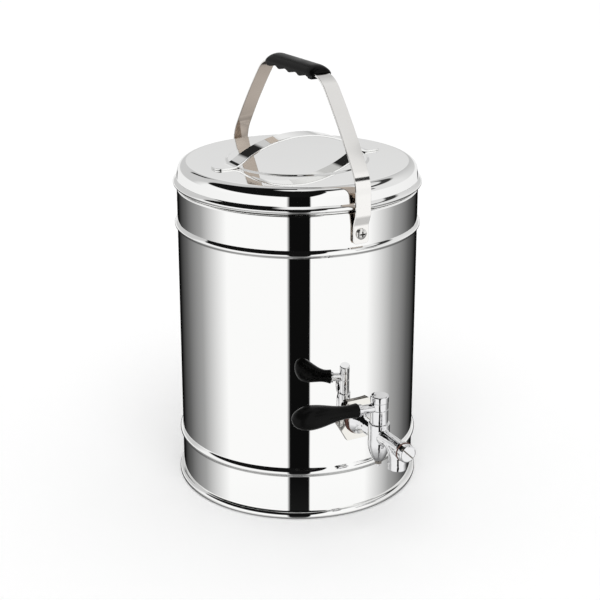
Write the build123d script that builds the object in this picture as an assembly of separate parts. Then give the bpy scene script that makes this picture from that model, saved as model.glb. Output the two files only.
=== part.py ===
from build123d import *
from math import atan2, cos, degrees, radians, sin, sqrt
import os

os.makedirs("parts", exist_ok=True)

# Insulated tea urn in millimetres. +Z is up and the origin is the centre of the foot on the
# table. The tap points to -Y, the bail turns about a line along Y and the lid handle lies on X.

# Clearances
SEAM = 0.1              # between sheet pieces that are seamed or welded together
FOAM_GAP = 0.3          # round the insulation
SEAT_GAP = 0.3          # under the closed lid's rim
RUNNING = 0.05          # radius of a running fit
FACE_GAP = 0.1          # between faces that turn or lift against each other

# Casing
BODY_RADIUS = 125.0
SHELL_WALL = 1.0
SHOULDER_Z = 322.8      # step that the lid comes down to
SHOULDER_ROUND = 2.6
FOOT_PROUD = 4.2        # rolled foot outside the casing wall
FOOT_HEIGHT = 8.0
FOOT_INSET = 2.0        # rolled foot inside the casing wall
RIB_PROUD = 2.8
LOWER_RIB_Z = 51.8
LOWER_RIB_HEIGHT = 9.8
UPPER_RIB_DROP = 39.6   # below the shoulder
UPPER_RIB_HEIGHT = 8.0
BASE_WALL = 1.0
BASE_FLANGE = 10.0
BASE_PANEL_RADIUS = 95.0
BASE_PANEL_RAISE = 3.0
BASE_DROP = 0.5         # top of the base plate below the lower rib

# Inner vessel and mouth
VESSEL_WALL = 0.8
JACKET = 12.2           # insulation space between vessel and casing
VESSEL_CORNER = 8.0
MOUTH_HEIGHT = 12.0     # mouth above the shoulder
MOUTH_ROUND = 2.4
MOUTH_LIP = 6.0         # turned-down edge outside the neck
LIP_GAP = 0.3           # between that edge and the neck

# Lid
LID_WALL = 0.8
LID_HEIGHT = 24.9
LID_SHOULDER = 6.0
LID_RIM_PROUD = 3.8
LID_RIM_HEIGHT = 8.0
LID_PLAY = 1.0          # between the skirt and the mouth lip
DISC_RADIUS = 74.5
DISC_HEIGHT = 2.5
DISC_SLOPE = 6.0
GASKET_THICK = 2.0
GASKET_WIDTH = 8.0
LINER_WALL = 0.8
LINER_DEPTH = 10.0      # pan below the mouth's top
LINER_PLAY = 3.0        # between the pan and the vessel

# Lid handle
HANDLE_WIDTH = 20.0
HANDLE_THICK = 2.0
HANDLE_RISE = 26.5      # crest above the lid
HANDLE_DISC_GAP = 6.0   # start of the foot outside the raised disc
HANDLE_FOOT_LENGTH = 15.5
HANDLE_FOOT_BEND = 20.0
HANDLE_FOOT_ROUND = 7.0

# Bail
PIVOT_DROP = 21.9       # below the shoulder
STRAP_WIDTH = 16.8
STRAP_THICK = 2.0
BAIL_STRAIGHT = 21.0    # upright leg above the joggle
BAIL_LID_GAP = 1.7      # between the leg and the lid rim
BAIL_LOW_BEND = 40.0
BAIL_HIGH_BEND = 33.0
BAIL_LOW_LEAN = 34.0    # degrees from upright
BAIL_HIGH_LEAN = 42.0
JOGGLE_START = 9.4      # above the pivot
JOGGLE_LENGTH = 8.4
JOGGLE_BEND = 3.0
TAB_END = 10.0          # below the pivot
TAB_ROUND = 3.0
PIVOT_WASHER_THICK = 1.4
PIVOT_WASHER_RADIUS = 7.0
PIVOT_SHANK = 2.5
PIVOT_HEAD_RADIUS = 5.6
PIVOT_HEAD_HEIGHT = 3.2
PIVOT_NUT_FLATS = 9.0
PIVOT_NUT_THICK = 4.5

# Grip
GRIP_LENGTH = 100.0
GRIP_WIDTH = 25.0
GRIP_TOP = 8.5          # crest above the strap
GRIP_SIDE = 2.2         # upright side of the cover above the parting plane
GRIP_END_SLOPE = 22.0
GRIP_SKIN = 1.6         # underside between its finger ridges
RIDGE_DROP = 2.4
RIDGE_END = 5.0         # middle of the last ridge inside the underside's end
RIDGE_WIDTH = 4.0
RIDGE_COUNT = 5
GRIP_END_INSET = 2.0    # underside inside the cover's ends
GRIP_OVERHANG = 5.0     # cover past the strap's level part
GRIP_NARROW = 2.0       # underside narrower than the cover
GRIP_SCREW_RADIUS = 1.5
GRIP_SCREW_HEAD = 2.8
GRIP_SCREW_HEAD_HEIGHT = 1.0
GRIP_SCREW_BITE = 6.0

# Tap
TAP_Z = 105.4
HEX_FLATS = 42.5
HEX_THICK = 3.0
SLEEVE_RADIUS = 13.0
SLEEVE_PROUD = 2.0      # inside the vessel
SHANK_RADIUS = 10.2
BOSS_WASHER_RADIUS = 15.6
WASHER_THICK = 2.0
COLLAR_RADIUS = 13.6
COLLAR_THICK = 4.0
TAP_NECK_RADIUS = 8.4
TAP_NECK_FLARE = 12.0
WATERWAY = 4.6
PLUG_REACH = 42.5       # plug axis from the casing
BARREL_RADIUS = 10.8
BARREL_TOP = 12.3       # seam above the tap's axis
BARREL_STRAIGHT = 4.0   # below the tap's axis
TAIL_RADIUS = 4.8
TAIL_DROP = 28.0
TAIL_BULGE = 2.4
TUBE_RADIUS = 7.5
CAST_FILLET = 0.8       # where the neck and the tube meet the barrel
SPOUT_OFFSET = 34.5     # from the plug axis
SPOUT_RADIUS = 9.3
SPOUT_BORE = 7.0
SPOUT_DROP = 22.6
SPOUT_BEND = 14.0
SPOUT_STEPS = 6
TUBE_OVERRUN = 11.0     # past the spout's axis
END_RING_RADIUS = 9.2
END_RING_LENGTH = 4.0
END_WASHER_RADIUS = 8.6
END_WASHER_THICK = 1.5
END_CAP_RADIUS = 9.0
END_CAP_LENGTH = 6.5
END_CAP_ROUND = 2.2
END_SPIGOT = 2.5
SLOT_WIDTH = 2.4
SLOT_DEPTH = 2.2
SLOT_TURN = -45.0       # degrees from level

# Tap plug and lever
PLUG_HEAD_RADIUS = 8.9
PLUG_HEAD_TOP = 34.4    # above the tap's axis
PLUG_TAPER_TOP = 6.8
PLUG_TAPER_LOW = 5.2
PLUG_TAPER_DROP = 16.0
PLUG_GROOVE_Z = 27.2
PLUG_GROOVE = 1.2
PLUG_PORT = 4.2
PLUG_STEM_RADIUS = 1.7
PLUG_STEM_DROP = 35.0
PLUG_CAP_RADIUS = 9.2
PLUG_CAP_HEIGHT = 7.2
PLUG_CAP_ROUND = 1.4
PLUG_WASHER_RADIUS = 4.2
PLUG_WASHER_THICK = 1.0
PLUG_NUT_FLATS = 6.4
PLUG_NUT_THICK = 2.6
LEVER_Z = 28.6          # above the tap's axis
LEVER_RISE = 4.0        # degrees
STEM_RADIUS = 4.9
STEM_TIP_RADIUS = 4.5
STEM_LENGTH = 22.0      # from the plug axis to the ferrule
FERRULE_RADIUS = 6.2
FERRULE_LENGTH = 3.3
TANG_RADIUS = 3.0
TANG_LENGTH = 34.0
LEVER_MOUTH_RADIUS = 7.3
LEVER_NECK_RADIUS = 6.5
LEVER_NECK_LENGTH = 12.0
LEVER_SWELL_LENGTH = 40.6   # from the neck to the widest place
LEVER_BULB_RADIUS = 12.0
LEVER_END_RADIUS = 9.5
LEVER_END_LENGTH = 18.8     # from the widest place to the end
LEVER_ROUND = 1.5

# Places worked out from the sizes above
SHELL_IN = BODY_RADIUS - SHELL_WALL
FOOT_RADIUS = BODY_RADIUS + FOOT_PROUD
UPPER_RIB_Z = SHOULDER_Z - UPPER_RIB_DROP
BASE_Z = LOWER_RIB_Z - LOWER_RIB_HEIGHT / 2 - BASE_DROP
VESSEL_RADIUS = SHELL_IN - JACKET - VESSEL_WALL
VESSEL_FLOOR_Z = TAP_Z - SLEEVE_RADIUS - VESSEL_CORNER - VESSEL_WALL
MOUTH_Z = SHOULDER_Z + MOUTH_HEIGHT
NECK_TOP = MOUTH_Z - VESSEL_WALL
LID_SKIRT_IN = BODY_RADIUS - LID_WALL
MOUTH_LIP_RADIUS = LID_SKIRT_IN - LID_PLAY
NECK_RADIUS = MOUTH_LIP_RADIUS - VESSEL_WALL - LIP_GAP
LID_RIM_Z = SHOULDER_Z + SEAT_GAP
LID_RIM_RADIUS = BODY_RADIUS + LID_RIM_PROUD
LID_Z = LID_RIM_Z + LID_HEIGHT
GASKET_Z = MOUTH_Z + FACE_GAP
LINER_Z = GASKET_Z + GASKET_THICK
HANDLE_FOOT_IN = DISC_RADIUS + HANDLE_DISC_GAP
HANDLE_FOOT_OUT = HANDLE_FOOT_IN + HANDLE_FOOT_LENGTH
PIVOT_Z = SHOULDER_Z - PIVOT_DROP
TAB_Y = BODY_RADIUS + PIVOT_WASHER_THICK + FACE_GAP + STRAP_THICK / 2
LEG_Y = LID_RIM_RADIUS + BAIL_LID_GAP + STRAP_THICK / 2
BAIL_FLAT_HALF = GRIP_LENGTH / 2 - GRIP_OVERHANG
LOW_LEAN = radians(BAIL_LOW_LEAN)
HIGH_LEAN = radians(BAIL_HIGH_LEAN)
BAIL_BENDS_IN = BAIL_LOW_BEND * (1 - cos(LOW_LEAN)) + BAIL_HIGH_BEND * cos(HIGH_LEAN)
BAIL_LONG_BEND = (LEG_Y - BAIL_FLAT_HALF - BAIL_BENDS_IN) / (cos(LOW_LEAN) - cos(HIGH_LEAN))
BAIL_BENDS_UP = BAIL_LOW_BEND * sin(LOW_LEAN) + BAIL_HIGH_BEND * (1 - sin(HIGH_LEAN))
BAIL_CURVE_RISE = BAIL_BENDS_UP + BAIL_LONG_BEND * (sin(HIGH_LEAN) - sin(LOW_LEAN))
BAIL_Z = PIVOT_Z + JOGGLE_START + JOGGLE_LENGTH + BAIL_STRAIGHT + BAIL_CURVE_RISE
RIDGE_PITCH = (GRIP_LENGTH - 2 * GRIP_END_INSET - 2 * RIDGE_END) / (RIDGE_COUNT - 1)
PARTING_Z = BAIL_Z - STRAP_THICK / 2
RIDGE_Z = PARTING_Z - GRIP_SKIN - RIDGE_DROP
HEX_FACE = BODY_RADIUS + HEX_THICK
COLLAR_OUT = HEX_FACE + WASHER_THICK
PLUG_OUT = BODY_RADIUS + PLUG_REACH
SPOUT_OUT = PLUG_OUT + SPOUT_OFFSET
TUBE_END = SPOUT_OUT + TUBE_OVERRUN
HANDLE_START = STEM_LENGTH + FERRULE_LENGTH

TAP_AXIS = Plane(origin=(0, 0, TAP_Z), x_dir=(1, 0, 0), z_dir=(0, -1, 0))
PLUG_AXIS = Pos(0, -PLUG_OUT, TAP_Z)
LEVER_AXIS = Plane(
    origin=(0, -PLUG_OUT, TAP_Z + LEVER_Z),
    x_dir=(0, 1, 0),
    z_dir=(-cos(radians(LEVER_RISE)), 0, sin(radians(LEVER_RISE))),
)
PIVOTS = [
    Plane(origin=(0, 0, PIVOT_Z), x_dir=(1, 0, 0), z_dir=(0, side, 0)) for side in (-1, 1)
]


def turned(*outline):
    """Solid of revolution about Z from an outline drawn as (radius, height)."""
    return revolve(Plane.XZ * make_face(outline), Axis.Z)


def rod(radius, low, high):
    """Round bar on Z between two heights."""
    return Pos(0, 0, low) * Cylinder(radius, high - low, align=(Align.CENTER, Align.CENTER, Align.MIN))


def ring(radius, bore, low, high):
    return rod(radius, low, high) - rod(bore, low, high)


def hexagon(flats, low, high):
    """Hexagonal bar on Z with two flats square to the local Y."""
    outline = RegularPolygon(flats / 2, 6, major_radius=False)
    return Pos(0, 0, low) * extrude(outline, high - low)


def group(pieces):
    """Separate equal solids kept in one piece of the assembly."""
    return Compound(children=list(pieces))


def casing_line(inset):
    """Casing outline from the foot to the mouth, inset from its outer face."""
    radius = BODY_RADIUS - inset
    step = SHOULDER_Z - inset
    neck = NECK_RADIUS - inset
    bend_low = (radius, SHOULDER_Z - SHOULDER_ROUND)
    bend_high = (BODY_RADIUS - SHOULDER_ROUND, step)
    edges = []
    start = (radius, FOOT_HEIGHT)
    for centre, height in ((LOWER_RIB_Z, LOWER_RIB_HEIGHT), (UPPER_RIB_Z, UPPER_RIB_HEIGHT)):
        low = (radius, centre - height / 2)
        high = (radius, centre + height / 2)
        edges += [Line(start, low), SagittaArc(low, high, -RIB_PROUD)]
        start = high
    edges += [
        Line(start, bend_low),
        TangentArc(bend_low, bend_high, tangent=(0, 1)),
        Polyline(bend_high, (neck, step), (neck, NECK_TOP)),
    ]
    return edges


def outer_shell():
    """Casing rolled from sheet, with two swaged ribs and a neck under the lid."""
    wall = turned(
        *casing_line(0),
        *casing_line(SHELL_WALL),
        Line((BODY_RADIUS, FOOT_HEIGHT), (SHELL_IN, FOOT_HEIGHT)),
        Line((NECK_RADIUS, NECK_TOP), (NECK_RADIUS - SHELL_WALL, NECK_TOP)),
    )
    wall -= TAP_AXIS * rod(SLEEVE_RADIUS + SEAM, VESSEL_RADIUS, HEX_FACE)
    for pivot in PIVOTS:
        wall -= pivot * rod(PIVOT_SHANK + SEAM, VESSEL_RADIUS, HEX_FACE)
    return wall


def foot_ring():
    """Rolled foot that the casing stands on, flat underneath."""
    roll = FOOT_HEIGHT / 2
    inside = SHELL_IN - FOOT_INSET
    flat = FOOT_RADIUS - roll
    return turned(
        Line((inside, 0), (flat, 0)),
        TangentArc((flat, 0), (FOOT_RADIUS, roll), tangent=(1, 0)),
        TangentArc((FOOT_RADIUS, roll), (flat, FOOT_HEIGHT), tangent=(0, 1)),
        Polyline((flat, FOOT_HEIGHT), (inside, FOOT_HEIGHT), (inside, 0)),
    )


def base_plate():
    """Bottom disc with a raised panel, its flange turned down inside the casing."""
    edge = SHELL_IN - SEAM
    panel = BASE_Z + BASE_PANEL_RAISE
    foot = BASE_PANEL_RADIUS + 2 * BASE_PANEL_RAISE
    return turned(
        Polyline(
            (0, panel),
            (BASE_PANEL_RADIUS, panel),
            (foot, BASE_Z),
            (edge, BASE_Z),
            (edge, BASE_Z - BASE_FLANGE),
            (edge - BASE_WALL, BASE_Z - BASE_FLANGE),
            (edge - BASE_WALL, BASE_Z - BASE_WALL),
            (foot, BASE_Z - BASE_WALL),
            (BASE_PANEL_RADIUS, panel - BASE_WALL),
            (0, panel - BASE_WALL),
            (0, panel),
        )
    )


def inner_vessel():
    """Deep pan whose mouth is rolled out over the casing's neck."""
    outside = VESSEL_RADIUS + VESSEL_WALL
    corner = VESSEL_FLOOR_Z + VESSEL_CORNER
    flat = VESSEL_RADIUS - VESSEL_CORNER
    under = VESSEL_FLOOR_Z - VESSEL_WALL
    lip_low = MOUTH_Z - MOUTH_LIP
    round_low = MOUTH_Z - MOUTH_ROUND
    shaped = turned(
        Line((0, VESSEL_FLOOR_Z), (flat, VESSEL_FLOOR_Z)),
        TangentArc((flat, VESSEL_FLOOR_Z), (VESSEL_RADIUS, corner), tangent=(1, 0)),
        Line((VESSEL_RADIUS, corner), (VESSEL_RADIUS, round_low)),
        TangentArc((VESSEL_RADIUS, round_low), (VESSEL_RADIUS + MOUTH_ROUND, MOUTH_Z), tangent=(0, 1)),
        Line((VESSEL_RADIUS + MOUTH_ROUND, MOUTH_Z), (MOUTH_LIP_RADIUS - MOUTH_ROUND, MOUTH_Z)),
        TangentArc(
            (MOUTH_LIP_RADIUS - MOUTH_ROUND, MOUTH_Z), (MOUTH_LIP_RADIUS, round_low), tangent=(1, 0)
        ),
        Polyline(
            (MOUTH_LIP_RADIUS, round_low),
            (MOUTH_LIP_RADIUS, lip_low),
            (NECK_RADIUS + LIP_GAP, lip_low),
            (NECK_RADIUS + LIP_GAP, NECK_TOP),
            (outside, NECK_TOP),
            (outside, corner),
        ),
        TangentArc((outside, corner), (flat, under), tangent=(0, -1)),
        Polyline((flat, under), (0, under), (0, VESSEL_FLOOR_Z)),
    )
    return shaped - TAP_AXIS * rod(SLEEVE_RADIUS + SEAM, VESSEL_RADIUS - VESSEL_CORNER, BODY_RADIUS)


def insulation():
    """Foam jacket round and under the vessel, relieved for the tap sleeve and pivot nuts."""
    outside = SHELL_IN - FOAM_GAP
    inside = VESSEL_RADIUS + VESSEL_WALL + FOAM_GAP
    low = BASE_Z + BASE_PANEL_RAISE + FOAM_GAP
    floor = VESSEL_FLOOR_Z - VESSEL_WALL - FOAM_GAP
    flat = VESSEL_RADIUS - VESSEL_CORNER
    corner = VESSEL_FLOOR_Z + VESSEL_CORNER
    high = SHOULDER_Z - SHELL_WALL - SHOULDER_ROUND
    jacket = turned(
        Polyline((0, floor), (0, low), (outside, low), (outside, high), (inside, high), (inside, corner)),
        TangentArc((inside, corner), (flat, floor), tangent=(0, -1)),
        Line((flat, floor), (0, floor)),
    )
    jacket -= TAP_AXIS * rod(SLEEVE_RADIUS + FOAM_GAP, flat, BODY_RADIUS)
    pocket_floor = SHELL_IN - PIVOT_NUT_THICK - 2 * FOAM_GAP
    for pivot in PIVOTS:
        jacket -= pivot * rod(PIVOT_NUT_FLATS / sqrt(3) + FOAM_GAP, pocket_floor, BODY_RADIUS)
    return jacket


def tap_socket():
    """Hexagonal boss on the casing with a sleeve welded through to the vessel."""
    seat = rod(BODY_RADIUS + SEAM, TAP_Z - HEX_FLATS, TAP_Z + HEX_FLATS)
    boss = TAP_AXIS * hexagon(HEX_FLATS, VESSEL_RADIUS, HEX_FACE) - seat
    boss += TAP_AXIS * rod(SLEEVE_RADIUS, VESSEL_RADIUS - SLEEVE_PROUD, HEX_FACE)
    return boss - TAP_AXIS * rod(SHANK_RADIUS + SEAM, 0, HEX_FACE)


def boss_washer():
    return TAP_AXIS * ring(BOSS_WASHER_RADIUS, SHANK_RADIUS + SEAM, HEX_FACE, COLLAR_OUT)


def tap_body():
    """Cast tap: shank, collar, neck, plug barrel with its tail, tube and bent spout."""
    flare_start = COLLAR_OUT + COLLAR_THICK
    flare_end = (TAP_NECK_RADIUS, flare_start + TAP_NECK_FLARE)
    rim = (COLLAR_RADIUS, flare_start)
    casting = TAP_AXIS * turned(
        Polyline((0, VESSEL_RADIUS), (SHANK_RADIUS, VESSEL_RADIUS), (SHANK_RADIUS, COLLAR_OUT)),
        Polyline((SHANK_RADIUS, COLLAR_OUT), (COLLAR_RADIUS, COLLAR_OUT), rim),
        TangentArc(flare_end, rim, tangent=(0, -1)),
        Polyline(flare_end, (TAP_NECK_RADIUS, PLUG_OUT), (0, PLUG_OUT), (0, VESSEL_RADIUS)),
    )
    tail = (TAIL_RADIUS, -TAIL_DROP)
    belly = (BARREL_RADIUS, -BARREL_STRAIGHT)
    casting += PLUG_AXIS * turned(
        Polyline((0, -TAIL_DROP), (0, BARREL_TOP), (BARREL_RADIUS, BARREL_TOP), belly),
        SagittaArc(belly, tail, TAIL_BULGE),
        Line(tail, (0, -TAIL_DROP)),
    )
    casting += TAP_AXIS * rod(TUBE_RADIUS, PLUG_OUT, TUBE_END)
    casting = fillet(casting.edges().filter_by(GeomType.BSPLINE), CAST_FILLET)
    casting += TAP_AXIS * rod(END_RING_RADIUS, TUBE_END - END_RING_LENGTH, TUBE_END)
    casting += bent_spout()
    casting -= TAP_AXIS * rod(WATERWAY, VESSEL_RADIUS, TUBE_END)
    casting -= Pos(0, -SPOUT_OUT, TAP_Z) * rod(SPOUT_BORE, -SPOUT_DROP, 0)
    casting -= PLUG_AXIS * plug_taper(RUNNING)
    casting -= PLUG_AXIS * rod(PLUG_STEM_RADIUS + SEAM, -TAIL_DROP, 0)
    return casting


def bent_spout():
    """Spout that leaves the tube, turns down and widens to its mouth."""
    centre = Pos(0, SPOUT_BEND - SPOUT_OUT, TAP_Z - SPOUT_BEND)
    sections = []
    for step in range(SPOUT_STEPS + 1):
        part = step / SPOUT_STEPS
        radius = TUBE_RADIUS - SEAM + (SPOUT_RADIUS - TUBE_RADIUS) * part
        place = centre * Rot(90 * part, 0, 0) * Pos(0, 0, SPOUT_BEND) * Rot(90, 0, 0)
        sections.append(place * Circle(radius))
    mouth = Pos(0, -SPOUT_OUT, TAP_Z) * rod(SPOUT_RADIUS, -SPOUT_DROP, -SPOUT_BEND)
    return loft(sections) + mouth


def plug_taper(grow):
    """Tapered seat of the plug about its own axis, grown for the bore."""
    return turned(
        Polyline(
            (0, -PLUG_TAPER_DROP - grow),
            (PLUG_TAPER_LOW + grow, -PLUG_TAPER_DROP - grow),
            (PLUG_TAPER_TOP + grow, BARREL_TOP),
            (0, BARREL_TOP),
            (0, -PLUG_TAPER_DROP - grow),
        )
    )


def tap_plug():
    """Turning plug: taper with its cross port, grooved head above and stem below."""
    head_low = BARREL_TOP + FACE_GAP
    groove_in = PLUG_HEAD_RADIUS - PLUG_GROOVE / 2
    groove_low = PLUG_GROOVE_Z - PLUG_GROOVE / 2
    plug = plug_taper(0)
    plug += rod(PLUG_TAPER_TOP, BARREL_TOP, head_low)
    plug += rod(PLUG_STEM_RADIUS, -PLUG_STEM_DROP, 0)
    head = rod(PLUG_HEAD_RADIUS, head_low, PLUG_HEAD_TOP)
    head -= ring(PLUG_CAP_RADIUS, groove_in, groove_low, groove_low + PLUG_GROOVE)
    plug += head
    plug -= Rot(0, 90, 0) * rod(PLUG_PORT, -PLUG_CAP_RADIUS, PLUG_CAP_RADIUS)
    plug = PLUG_AXIS * plug
    return plug - LEVER_AXIS * rod(TANG_RADIUS + SEAM, 0, PLUG_CAP_RADIUS + STEM_RADIUS)


def plug_cap():
    """Round cap on the plug's head."""
    top = PLUG_HEAD_TOP + PLUG_CAP_HEIGHT
    side = (PLUG_CAP_RADIUS, top - PLUG_CAP_ROUND)
    crown = (PLUG_CAP_RADIUS - PLUG_CAP_ROUND, top)
    return PLUG_AXIS * turned(
        Polyline((0, top), (0, PLUG_HEAD_TOP), (PLUG_CAP_RADIUS, PLUG_HEAD_TOP), side),
        TangentArc(side, crown, tangent=(0, 1)),
        Line(crown, (0, top)),
    )


def plug_washer():
    top = -TAIL_DROP - FACE_GAP
    return PLUG_AXIS * ring(PLUG_WASHER_RADIUS, PLUG_STEM_RADIUS + SEAM, top - PLUG_WASHER_THICK, top)


def plug_nut():
    top = -TAIL_DROP - FACE_GAP - PLUG_WASHER_THICK
    low = top - PLUG_NUT_THICK
    return PLUG_AXIS * (hexagon(PLUG_NUT_FLATS, low, top) - rod(PLUG_STEM_RADIUS + SEAM, low, top))


def lever_stem():
    """Tapered arm from the plug's head, with a ferrule and a tang inside the handle."""
    arm = turned(
        Polyline(
            (0, 0),
            (STEM_RADIUS, 0),
            (STEM_TIP_RADIUS, STEM_LENGTH),
            (FERRULE_RADIUS, STEM_LENGTH),
            (FERRULE_RADIUS, HANDLE_START),
            (TANG_RADIUS, HANDLE_START),
            (TANG_RADIUS, HANDLE_START + TANG_LENGTH),
            (0, HANDLE_START + TANG_LENGTH),
            (0, 0),
        )
    )
    arm = LEVER_AXIS * arm - PLUG_AXIS * rod(PLUG_HEAD_RADIUS + SEAM, 0, PLUG_HEAD_TOP)
    return arm + LEVER_AXIS * rod(TANG_RADIUS, PLUG_HEAD_RADIUS / 2, STEM_LENGTH)


def lever_handle():
    """Moulded bulb handle pressed on the tang."""
    mouth = HANDLE_START
    edge = (LEVER_MOUTH_RADIUS - LEVER_ROUND, mouth)
    lip = (LEVER_MOUTH_RADIUS, mouth + LEVER_ROUND)
    neck = (LEVER_NECK_RADIUS, mouth + LEVER_NECK_LENGTH)
    bulb = (LEVER_BULB_RADIUS, neck[1] + LEVER_SWELL_LENGTH)
    middle = ((neck[0] + bulb[0]) / 2, (neck[1] + bulb[1]) / 2)
    rise = LEVER_END_LENGTH - LEVER_END_RADIUS
    square = LEVER_BULB_RADIUS**2 + rise**2 - LEVER_END_RADIUS**2
    flank_radius = square / (2 * (LEVER_BULB_RADIUS - LEVER_END_RADIUS))
    turn = degrees(atan2(rise, flank_radius - LEVER_BULB_RADIUS))
    flank = JernArc(bulb, (0, 1), flank_radius, turn)
    tip = JernArc(flank @ 1, flank % 1, LEVER_END_RADIUS, 90 - turn)
    bulb_handle = turned(
        Line((0, mouth), edge),
        TangentArc(edge, lip, tangent=(1, 0)),
        TangentArc(neck, lip, tangent=(0, -1)),
        TangentArc(neck, middle, tangent=(0, 1)),
        TangentArc(bulb, middle, tangent=(0, -1)),
        flank,
        tip,
        Line((0, bulb[1] + LEVER_END_LENGTH), (0, mouth)),
    )
    return LEVER_AXIS * (bulb_handle - rod(TANG_RADIUS + SEAM, mouth, mouth + TANG_LENGTH + SEAM))


def end_washer():
    return TAP_AXIS * ring(END_WASHER_RADIUS, WATERWAY, TUBE_END, TUBE_END + END_WASHER_THICK)


def end_cap():
    """Slotted cleaning plug at the end of the tube."""
    face = TUBE_END + END_WASHER_THICK
    top = face + END_CAP_LENGTH
    side = (END_CAP_RADIUS, top - END_CAP_ROUND)
    crown = (END_CAP_RADIUS - END_CAP_ROUND, top)
    spigot = WATERWAY - SEAM
    cap = turned(
        Polyline((0, top), (0, TUBE_END - END_SPIGOT), (spigot, TUBE_END - END_SPIGOT), (spigot, face)),
        Polyline((spigot, face), (END_CAP_RADIUS, face), side),
        TangentArc(side, crown, tangent=(0, 1)),
        Line(crown, (0, top)),
    )
    slot = Pos(0, 0, top) * Rot(0, 0, SLOT_TURN) * Box(3 * END_CAP_RADIUS, SLOT_WIDTH, 2 * SLOT_DEPTH)
    return TAP_AXIS * (cap - slot)


def bail_line():
    """Middle line of half the bail from the crown of the grip down to its end, as (y, z)."""
    crown = Line((0, BAIL_Z), (BAIL_FLAT_HALF, BAIL_Z))
    top = JernArc(crown @ 1, (1, 0), BAIL_HIGH_BEND, BAIL_HIGH_LEAN - 90)
    side = JernArc(top @ 1, top % 1, BAIL_LONG_BEND, BAIL_LOW_LEAN - BAIL_HIGH_LEAN)
    foot = JernArc(side @ 1, side % 1, BAIL_LOW_BEND, -BAIL_LOW_LEAN)
    leg = FilletPolyline(
        foot @ 1,
        (LEG_Y, PIVOT_Z + JOGGLE_START + JOGGLE_LENGTH),
        (TAB_Y, PIVOT_Z + JOGGLE_START),
        (TAB_Y, PIVOT_Z - TAB_END),
        radius=JOGGLE_BEND,
    )
    return [crown, top, side, foot, *leg.edges()]


def strap_solid(thick, width):
    """Whole strap bent along the bail line."""
    wire = Wire(bail_line())
    half = make_face(wire.offset_2d(thick / 2, side=Side.LEFT, closed=True))
    half += make_face(wire.offset_2d(thick / 2, side=Side.RIGHT, closed=True))
    bent = extrude(Plane.YZ * half, width / 2, both=True)
    return bent + mirror(bent, Plane.XZ)


def bail_strap():
    """Flat strap bail with rounded ends and pivot holes."""
    strap = strap_solid(STRAP_THICK, STRAP_WIDTH)
    ends = strap.edges().filter_by(Axis.Y).group_by(Axis.Z)[0]
    strap = fillet(ends, TAB_ROUND)
    for pivot in PIVOTS:
        strap -= pivot * rod(PIVOT_SHANK + RUNNING, SHELL_IN, LEG_Y + STRAP_THICK)
    for place in grip_screw_places():
        strap -= place * rod(GRIP_SCREW_RADIUS + SEAM, -STRAP_WIDTH, STRAP_WIDTH)
    return strap


def grip_screw_places():
    """The two grip screws, in the hollows next to the end ridges."""
    across = RIDGE_PITCH * (RIDGE_COUNT - 2) / 2
    return [Pos(0, side * across, PARTING_Z) for side in (-1, 1)]


def grip_cover():
    """Crowned upper half of the grip over the strap."""
    crest = BAIL_Z + GRIP_TOP
    side = PARTING_Z + GRIP_SIDE
    half = GRIP_LENGTH / 2
    top = half - GRIP_END_SLOPE
    edge = GRIP_WIDTH / 2
    lengthwise = make_face(
        [
            Polyline((-half, side), (-half, PARTING_Z), (half, PARTING_Z), (half, side)),
            TangentArc((top, crest), (half, side), tangent=(1, 0)),
            Line((top, crest), (-top, crest)),
            TangentArc((-top, crest), (-half, side), tangent=(-1, 0)),
        ]
    )
    crosswise = make_face(
        [
            Polyline((-edge, side), (-edge, PARTING_Z), (edge, PARTING_Z), (edge, side)),
            SagittaArc((edge, side), (-edge, side), side - crest),
        ]
    )
    cover = extrude(Plane.YZ * lengthwise, edge, both=True)
    cover &= extrude(Plane.XZ * crosswise, half, both=True)
    cover -= strap_solid(STRAP_THICK + 2 * SEAM, STRAP_WIDTH + 2 * SEAM)
    for place in grip_screw_places():
        cover -= place * rod(GRIP_SCREW_RADIUS + SEAM, 0, STRAP_THICK + GRIP_SCREW_BITE + SEAM)
    return cover


def grip_base():
    """Lower half of the grip with hollows for four fingers between its ridges."""
    length = GRIP_LENGTH - 2 * GRIP_END_INSET
    height = PARTING_Z - RIDGE_Z
    block = Pos(0, 0, RIDGE_Z + height / 2) * Box(GRIP_WIDTH - GRIP_NARROW, length, height)
    chord = RIDGE_PITCH - RIDGE_WIDTH
    radius = (chord * chord / 4 + RIDGE_DROP * RIDGE_DROP) / (2 * RIDGE_DROP)
    hollow = Rot(0, 90, 0) * Cylinder(radius, 2 * GRIP_WIDTH)
    for step in range(RIDGE_COUNT - 1):
        place = (step - RIDGE_COUNT / 2 + 1) * RIDGE_PITCH
        block -= Pos(0, place, RIDGE_Z + RIDGE_DROP - radius) * hollow
    block = fillet(block.edges().filter_by(Axis.X).group_by(Axis.Z)[0], RIDGE_WIDTH / 3)
    block -= strap_solid(STRAP_THICK + 2 * SEAM, STRAP_WIDTH + 2 * SEAM)
    for place in grip_screw_places():
        block -= place * rod(GRIP_SCREW_RADIUS + SEAM, -height, 0)
        block -= place * rod(GRIP_SCREW_HEAD + SEAM, -height, GRIP_SCREW_HEAD_HEIGHT - GRIP_SKIN)
    return block


def grip_screws():
    """Two screws from below that hold the grip halves on the strap."""
    low = -GRIP_SKIN
    head = rod(GRIP_SCREW_HEAD, low, low + GRIP_SCREW_HEAD_HEIGHT)
    screw = head + rod(GRIP_SCREW_RADIUS, low, STRAP_THICK + GRIP_SCREW_BITE)
    return group(place * screw for place in grip_screw_places())


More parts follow.
